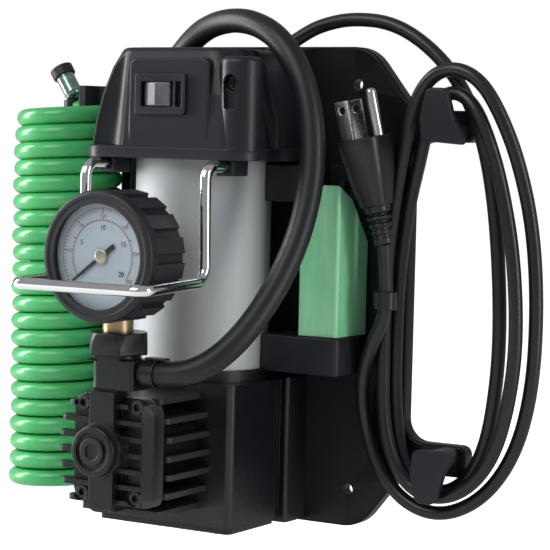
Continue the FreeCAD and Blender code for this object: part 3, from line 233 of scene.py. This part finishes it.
def finish(name, dark, light, roughness, spread=0.06, metallic=0.0, grain=900.0, height=0.00004,
           patch=35.0, stretch=(1, 1, 1), wear=0.0, worn=(0.3, 0.3, 0.3), coat=0.0,
           specular=0.5, edge=0.0):
    """A moulded, painted or metal surface: two close shades in soft patches, a fine grain
    in its bump and roughness, and paler worn edges."""
    material = bpy.data.materials.new(name)
    material.use_nodes = True
    tree = material.node_tree
    link = tree.links.new
    shader = tree.nodes["Principled BSDF"]
    shader.inputs["Metallic"].default_value = metallic
    shader.inputs["Coat Weight"].default_value = coat
    shader.inputs["Coat Roughness"].default_value = COAT_ROUGHNESS
    shader.inputs["Specular IOR Level"].default_value = specular
    place = node(tree, "ShaderNodeTexCoord")
    mapping = node(tree, "ShaderNodeMapping", Scale=stretch)
    link(place.outputs["Object"], mapping.inputs["Vector"])
    patches = noise(tree, mapping, patch, detail=4.0, roughness=0.6)
    fine = noise(tree, mapping, grain, detail=3.0, roughness=0.55)
    colour = two_shades(tree, patches, dark, light)
    if wear > 0:
        colour = worn_edges(tree, colour, wear, worn)
    link(colour, shader.inputs["Base Color"])
    rough = ranged(tree, fine, GRAIN, max(0.0, roughness - spread), roughness + spread)
    link(rough, shader.inputs["Roughness"])
    bump = node(tree, "ShaderNodeBump", Strength=BUMP_STRENGTH, Distance=height)
    link(fine, bump.inputs["Height"])
    link(bump.outputs["Normal"], shader.inputs["Normal"])
    if edge > 0:
        rounding = node(tree, "ShaderNodeBevel", Radius=edge)
        rounding.samples = EDGE_SAMPLES
        link(rounding.outputs["Normal"], bump.inputs["Normal"])
    return material


def tinted(material, transmission, ior, subsurface=0.0):
    """Let light into a finish, as for a clear or milky plastic."""
    shader = material.node_tree.nodes["Principled BSDF"]
    shader.inputs["Transmission Weight"].default_value = transmission
    shader.inputs["IOR"].default_value = ior
    shader.inputs["Subsurface Weight"].default_value = subsurface
    shader.inputs["Subsurface Radius"].default_value = MILKY_RADIUS
    shader.inputs["Subsurface Scale"].default_value = MILKY_SCALE
    return material


FINISHES = {
    "black_plastic": finish("black_plastic", (0.009, 0.0105, 0.0145), (0.014, 0.016, 0.021), 0.36,
                            height=0.00005, grain=1500, wear=0.3, worn=(0.06, 0.06, 0.07),
                            specular=0.34, edge=0.0007),
    # the back plate: a darker, less shiny copy of black_plastic, so painted shade
    "plate_black_painted_shade": finish("plate_black_painted_shade", (0.0015, 0.0018, 0.0025), (0.003, 0.0034, 0.0045), 0.34,
                          height=0.00005, grain=1100, wear=0.3, worn=(0.05, 0.05, 0.06),
                          specular=0.2, edge=0.0007),
    "black_casting": finish("black_casting", (0.004, 0.005, 0.007), (0.008, 0.009, 0.012), 0.33,
                            height=0.00009, grain=620, wear=0.35, worn=(0.07, 0.07, 0.08),
                            specular=0.36, edge=0.0007),
    "satin_can": finish("satin_can", (0.46, 0.48, 0.49), (0.53, 0.545, 0.555), 0.66, spread=0.03,
                        metallic=0.82, stretch=(1, 1, 0.03), grain=1500, height=0.000004, patch=40),
    "boot_rubber": finish("boot_rubber", (0.010, 0.010, 0.014), (0.015, 0.0155, 0.021), 0.46,
                          grain=800, height=0.0001, wear=0.3, worn=(0.05, 0.05, 0.06),
                          specular=0.4, edge=0.0006),
    "hose_rubber": finish("hose_rubber", (0.007, 0.0085, 0.011), (0.012, 0.014, 0.018), 0.42,
                          grain=900, height=0.00006, specular=0.36),
    "cord_pvc": finish("cord_pvc", (0.007, 0.0075, 0.009), (0.012, 0.0125, 0.015), 0.33,
                       grain=1200, height=0.00004, specular=0.45, edge=0.0004),
    "green_hose": tinted(finish("green_hose", (0.055, 0.43, 0.125), (0.080, 0.51, 0.165), 0.30,
                                grain=60, height=0.000004, spread=0.02, coat=0.15),
                         transmission=0.0, ior=1.5, subsurface=0.1),
    "green_clear": tinted(finish("green_clear", (0.28, 0.84, 0.43), (0.44, 0.93, 0.58), 0.10, spread=0.04,
                                 grain=120, height=0.00003, edge=0.0005, stretch=(1, 1, 0.15),
                                 patch=160, coat=0.4),
                          transmission=0.22, ior=1.49, subsurface=0.2),
    "bright_chrome": finish("bright_chrome", (0.84, 0.82, 0.83), (0.92, 0.90, 0.91), 0.10, spread=0.03,
                            metallic=1.0, grain=700, height=0.000004, patch=80),
    # the chuck's chrome with a green tint in its colour: painted green reflection of the coil hose
    "chuck_chrome_painted_reflection": finish("chuck_chrome_painted_reflection", (0.22, 0.34, 0.29), (0.40, 0.55, 0.48), 0.22, metallic=1.0,
                           grain=900, height=0.00002, patch=300),
    "brass": finish("brass", (0.42, 0.32, 0.18), (0.55, 0.43, 0.26), 0.36, metallic=1.0, grain=900,
                    height=0.00002, patch=200, edge=0.0004),
    "steel": finish("steel", (0.45, 0.45, 0.46), (0.62, 0.62, 0.63), 0.30, metallic=1.0, grain=1200,
                    height=0.00002, patch=180, edge=0.0003),
    "prong_metal": finish("prong_metal", (0.62, 0.60, 0.56), (0.76, 0.74, 0.70), 0.24, metallic=1.0,
                          grain=1500, height=0.000006, patch=150, stretch=(1, 1, 0.1)),
    "copper": finish("copper", (0.50, 0.20, 0.09), (0.72, 0.34, 0.17), 0.35, metallic=0.9, grain=1500,
                     height=0.0001, patch=300),
    "iron": finish("iron", (0.13, 0.13, 0.14), (0.24, 0.24, 0.25), 0.5, metallic=0.7, grain=900,
                   height=0.00005, stretch=(1, 1, 8)),
    "dial_white": finish("dial_white", (0.74, 0.86, 0.95), (0.79, 0.90, 0.97), 0.45, spread=0.04,
                         grain=2500, height=0.000004, patch=60),
    "needle_black": finish("needle_black", (0.010, 0.010, 0.012), (0.020, 0.020, 0.023), 0.4,
                           grain=2500, height=0.00001, patch=300),
    "board_green": finish("board_green", (0.02, 0.14, 0.05), (0.03, 0.20, 0.07), 0.4, grain=900,
                          height=0.00003, patch=250),
    "scale_red": finish("scale_red", (0.50, 0.26, 0.31), (0.58, 0.34, 0.38), 0.5, grain=2500,
                        height=0.000004, patch=300),
    "hub_brass": finish("hub_brass", (0.60, 0.54, 0.42), (0.74, 0.68, 0.55), 0.3, metallic=0.5,
                        grain=2500, height=0.00001, patch=400),
    # a grey far lighter than black_plastic, used on the black switch rocker: painted highlight
    "lamp_grey": finish("lamp_grey", (0.055, 0.06, 0.07), (0.10, 0.105, 0.12), 0.42, grain=1500,
                        height=0.00002, patch=150),
    "gauge_glass": tinted(finish("gauge_glass", (0.94, 0.96, 0.97), (1, 1, 1), 0.03, spread=0.01,
                                 grain=900, height=0.000002),
                          transmission=1.0, ior=1.45),
}
FINISH_OF = {                 # nodes whose look differs from their slot
    # switch_rocker's lamp_grey is a painted highlight on a black rocker
    "back_plate": "plate_black_painted_shade", "switch_rocker": "lamp_grey", "chuck_body": "chuck_chrome_painted_reflection",
}


def dress(thing, material):
    """Give an object one finish."""
    thing.data.materials.clear()
    thing.data.materials.append(material)


def dress_nodes():
    """Give each CAD node its finish."""
    for name, thing in NODES.items():
        material = FINISHES[FINISH_OF.get(name, SLOT_OF[name])]
        for slot in thing.material_slots:
            slot.material = material
        if not thing.material_slots:
            dress(thing, material)


dress_nodes()


# ---- pieces -------------------------------------------------------------
def piece(name, mesh, body, slot, material, *replaced):
    """A finished mesh as a piece of the object."""
    made = bpy.data.objects.new(name, mesh)
    bpy.context.scene.collection.objects.link(made)
    dress(made, material)
    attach(made, body)
    if replaced:
        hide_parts(*replaced)
    return made


def applied(thing):
    """Bake an object's modifiers into its mesh."""
    graph = bpy.context.evaluated_depsgraph_get()
    graph.update()
    mesh = bpy.data.meshes.new_from_object(thing.evaluated_get(graph))
    thing.modifiers.clear()
    thing.data = mesh


SMOOTH_ANGLE = math.radians(32)
FLAT_ANGLE = math.radians(1)       # faces that meet more flatly than this become one
ROUND_ANGLE = math.radians(40)     # edges sharper than this are rounded
ROUND_SEGMENTS = 2
SAME_POINT = 1e-6


def shade(mesh):
    """Smooth shading, with creases kept where faces meet steeply."""
    mesh.shade_smooth()
    mesh.set_sharp_from_angle(angle=SMOOTH_ANGLE)


def rounded(name, width):
    """A node's own form with its moulded edges rounded over."""
    mesh = NODES[name].data.copy()
    work = bmesh.new()
    work.from_mesh(mesh)
    bmesh.ops.remove_doubles(work, verts=work.verts, dist=SAME_POINT)
    bmesh.ops.dissolve_limit(work, angle_limit=FLAT_ANGLE, verts=work.verts, edges=work.edges)
    work.to_mesh(mesh)
    work.free()
    shade(mesh)
    material = NODES[name].material_slots[0].material
    made = piece(name + "_form", mesh, BODY_OF[name], SLOT_OF[name], material, name)
    bevel = made.modifiers.new("round", "BEVEL")
    bevel.width = width
    bevel.segments = ROUND_SEGMENTS
    bevel.limit_method = "ANGLE"
    bevel.angle_limit = ROUND_ANGLE
    bevel.use_clamp_overlap = False
    bevel.miter_outer = "MITER_ARC"
    bevel.harden_normals = True
    applied(made)
    return made


EDGE_ROUNDING = {              # widths in metres
    "cord_hooks": 0.0005, "manifold": 0.0006, "gauge_nut": 0.0005, "upper_bracket": 0.0007,
    "accessory_tray": 0.0009, "switch_bezel": 0.0004, "switch_rocker": 0.0006, "plug_body": 0.0006,
    "plug_prongs": 0.0003, "cord_clip": 0.0004, "handle_clips": 0.0006, "hose_coupling": 0.0008,
    "chuck_elbow": 0.0005, "chuck_body": 0.0003, "chuck_collar": 0.0005, "hose_clamp": 0.0002,
}
forms = {name: rounded(name, width) for name, width in EDGE_ROUNDING.items()}

# ---- gauge printing -----------------------------------------------------
DIAL_CENTRE = Vector((0, -0.11668, 0.0155))    # on the dial's front, at the needle's axis
SWEEP = 252.0
FIRST_MARK = -126.0
PRINT_THICKNESS = 0.00006
ARC_STEPS = 90
TICK_STEPS = 2
LONG_TICK_HALF = 0.9          # half widths in degrees
SHORT_TICK_HALF = 0.45
FIGURE_DEPTH = 0.00003
FIGURE_LIFT = 0.00004
HUB_R = 0.0033
HUB_LIFT = 0.00122            # how far the cap's foot stands off the printing
HUB_DOME = 0.2                # the cap's height as a share of its radius


def dial_point(angle, radius, lift):
    """A point in front of the dial, at an angle in degrees clockwise from its top."""
    a = math.radians(angle)
    return DIAL_CENTRE + Vector((math.sin(a) * radius, -lift, math.cos(a) * radius))


def dial_strip(work, a0, a1, r0, r1, steps):
    """A printed arc or tick with a little body, on the dial's front."""
    section = ((r0, 0), (r0, PRINT_THICKNESS), (r1, PRINT_THICKNESS), (r1, 0))
    rows = []
    for i in range(steps + 1):
        angle = a0 + (a1 - a0) * i / steps
        rows.append([work.verts.new(dial_point(angle, radius, lift)) for radius, lift in section])
    for first, second in zip(rows, rows[1:]):
        for k in range(4):
            work.faces.new((first[k], first[(k + 1) % 4], second[(k + 1) % 4], second[k]))
    work.faces.new(rows[0])
    work.faces.new(list(reversed(rows[-1])))


def dial_scale(name, material, radius, divisions, major, long_tick, short_tick, line):
    """One printed scale: its arc and its ticks."""
    work = bmesh.new()
    dial_strip(work, FIRST_MARK, FIRST_MARK + SWEEP, radius, radius + line, ARC_STEPS)
    for k in range(divisions + 1):
        angle = FIRST_MARK + SWEEP * k / divisions
        is_long = k % major == 0
        reach = long_tick if is_long else short_tick
        half = LONG_TICK_HALF if is_long else SHORT_TICK_HALF
        dial_strip(work, angle - half, angle + half, radius, radius + reach, TICK_STEPS)
    bmesh.ops.recalc_face_normals(work, faces=work.faces)
    mesh = bpy.data.meshes.new(name)
    work.to_mesh(mesh)
    work.free()
    return piece(name, mesh, "root", "dial_white", material)


def dial_numbers(name, material, values, radius, size):
    """Upright numbers spaced evenly over the sweep."""
    work = bmesh.new()
    graph = bpy.context.evaluated_depsgraph_get()
    for k, value in enumerate(values):
        data = bpy.data.curves.new("figure", "FONT")
        data.body = str(value)
        data.size = size
        data.extrude = FIGURE_DEPTH
        data.align_x = "CENTER"
        data.align_y = "CENTER"
        text = bpy.data.objects.new("figure", data)
        bpy.context.scene.collection.objects.link(text)
        graph.update()
        mesh = bpy.data.meshes.new_from_object(text.evaluated_get(graph))
        place = dial_point(FIRST_MARK + SWEEP * k / (len(values) - 1), radius, FIGURE_LIFT)
        mesh.transform(Matrix.Translation(place) @ Matrix.Rotation(math.pi / 2, 4, "X"))
        work.from_mesh(mesh)
        bpy.data.objects.remove(text)
    bmesh.ops.remove_doubles(work, verts=work.verts, dist=SAME_POINT / 10)
    mesh = bpy.data.meshes.new(name)
    work.to_mesh(mesh)
    work.free()
    return piece(name, mesh, "root", "dial_white", material)


dial_scale("outer_scale", FINISHES["scale_red"], radius=0.0205, divisions=60, major=10,
           long_tick=-0.0022, short_tick=-0.0012, line=0.00022)
dial_scale("inner_scale", FINISHES["scale_red"], radius=0.0152, divisions=40, major=10,
           long_tick=0.0016, short_tick=0.0009, line=0.00035)
dial_numbers("outer_numbers", FINISHES["scale_red"], range(0, 301, 50), radius=0.0171, size=0.0022)
dial_numbers("inner_numbers", FINISHES["needle_black"], range(0, 21, 5), radius=0.0122, size=0.0030)


def make_hub():
    """The domed brass cap over the needle's root."""
    work = bmesh.new()
    bmesh.ops.create_uvsphere(work, u_segments=32, v_segments=16, radius=HUB_R)
    bmesh.ops.delete(work, geom=[v for v in work.verts if v.co.z < -SAME_POINT], context="VERTS")
    rim = [e for e in work.edges if e.is_boundary]
    bmesh.ops.contextual_create(work, geom=rim)
    for vert in work.verts:
        vert.co.z *= HUB_DOME
    bmesh.ops.recalc_face_normals(work, faces=work.faces)
    mesh = bpy.data.meshes.new("needle_hub_cap")
    work.to_mesh(mesh)
    work.free()
    place = DIAL_CENTRE + Vector((0, -HUB_LIFT, 0))
    mesh.transform(Matrix.Translation(place) @ Matrix.Rotation(math.pi / 2, 4, "X"))
    shade(mesh)
    return piece("needle_hub_cap", mesh, "needle", "needle_black", FINISHES["hub_brass"])


make_hub()

# ---- cord pieces --------------------------------------------------------
for line, finish_name, replaced in (
    (air_hose, "hose_rubber", ["air_hose"]),
    (power_cord, "cord_pvc", ["power_cord"]),
    (coil_hose, "green_hose", ["coil_hose", "coil_hose_lead"]),
):
    dress(line, FINISHES[finish_name])
    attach(line, "root")
    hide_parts(*replaced)

tuple(coil_route()[0])


# ---- studio -------------------------------------------------------------
FLOOR_Z = -0.15
FLOOR_HALF = 6
FLOOR_GLOW = 0.85
ROOM_LIGHT = 0.30
LOOK_AT = Vector((0.01, -0.05, 0.0))
LIGHTS = {                    # place, width, height, power
    "left_strip": ((-1.15, -0.40, 0.25), 0.28, 1.2, 17),
    "right_strip": ((1.25, -0.05, 0.3), 0.3, 1.0, 6),
    "front_soft": ((-0.25, -1.15, 1.0), 0.9, 0.9, 9.5),
}


def seen_white(tree, lit, output, white):
    """Show the camera a plain white, and light the object with something softer."""
    rays = tree.nodes.new("ShaderNodeLightPath")
    choose = tree.nodes.new("ShaderNodeMixShader")
    tree.links.new(rays.outputs["Is Camera Ray"], choose.inputs["Fac"])
    tree.links.new(lit, choose.inputs[1])
    tree.links.new(white, choose.inputs[2])
    tree.links.new(choose.outputs["Shader"], output.inputs["Surface"])


def make_floor():
    """A plain pale floor a little below the object."""
    work = bmesh.new()
    bmesh.ops.create_grid(work, x_segments=8, y_segments=8, size=FLOOR_HALF,
                          matrix=Matrix.Translation((0, 0, FLOOR_Z)))
    mesh = bpy.data.meshes.new("floor")
    work.to_mesh(mesh)
    work.free()
    floor = bpy.data.objects.new("floor", mesh)
    bpy.context.scene.collection.objects.link(floor)
    pale = finish("pale_floor", (0.92, 0.92, 0.92), (0.94, 0.94, 0.94), 0.7, grain=60,
                  height=0.0001, patch=2)
    tree = pale.node_tree
    glow = node(tree, "ShaderNodeEmission", Strength=FLOOR_GLOW)
    both = tree.nodes.new("ShaderNodeAddShader")
    surface = tree.nodes["Principled BSDF"].outputs["BSDF"]
    tree.links.new(surface, both.inputs[0])
    tree.links.new(glow.outputs["Emission"], both.inputs[1])
    seen_white(tree, surface, tree.nodes["Material Output"], both.outputs["Shader"])
    dress(floor, pale)


def area_light(name, place, width, height, power):
    """A soft rectangular light that points at the object."""
    data = bpy.data.lights.new(name, "AREA")
    data.shape = "RECTANGLE"
    data.size = width
    data.size_y = height
    data.energy = power
    light = bpy.data.objects.new(name, data)
    light.location = place
    light.rotation_mode = "QUATERNION"
    light.rotation_quaternion = (LOOK_AT - Vector(place)).to_track_quat("-Z", "Y")
    bpy.context.scene.collection.objects.link(light)


def make_world():
    """Soft light from all round, with a plain white seen behind the object."""
    world = bpy.data.worlds.new("studio")
    world.use_nodes = True
    tree = world.node_tree
    soft = tree.nodes["Background"]
    soft.inputs["Color"].default_value = (0.97, 0.98, 1, 1)
    soft.inputs["Strength"].default_value = ROOM_LIGHT
    white = node(tree, "ShaderNodeBackground", Color=(1, 1, 1, 1), Strength=1.0)
    seen_white(tree, soft.outputs["Background"], tree.nodes["World Output"], white.outputs["Background"])
    bpy.context.scene.world = world
    bpy.context.scene.view_settings.view_transform = "Standard"


make_floor()
make_world()
for name, (place, width, height, power) in LIGHTS.items():
    area_light(name, place, width, height, power)
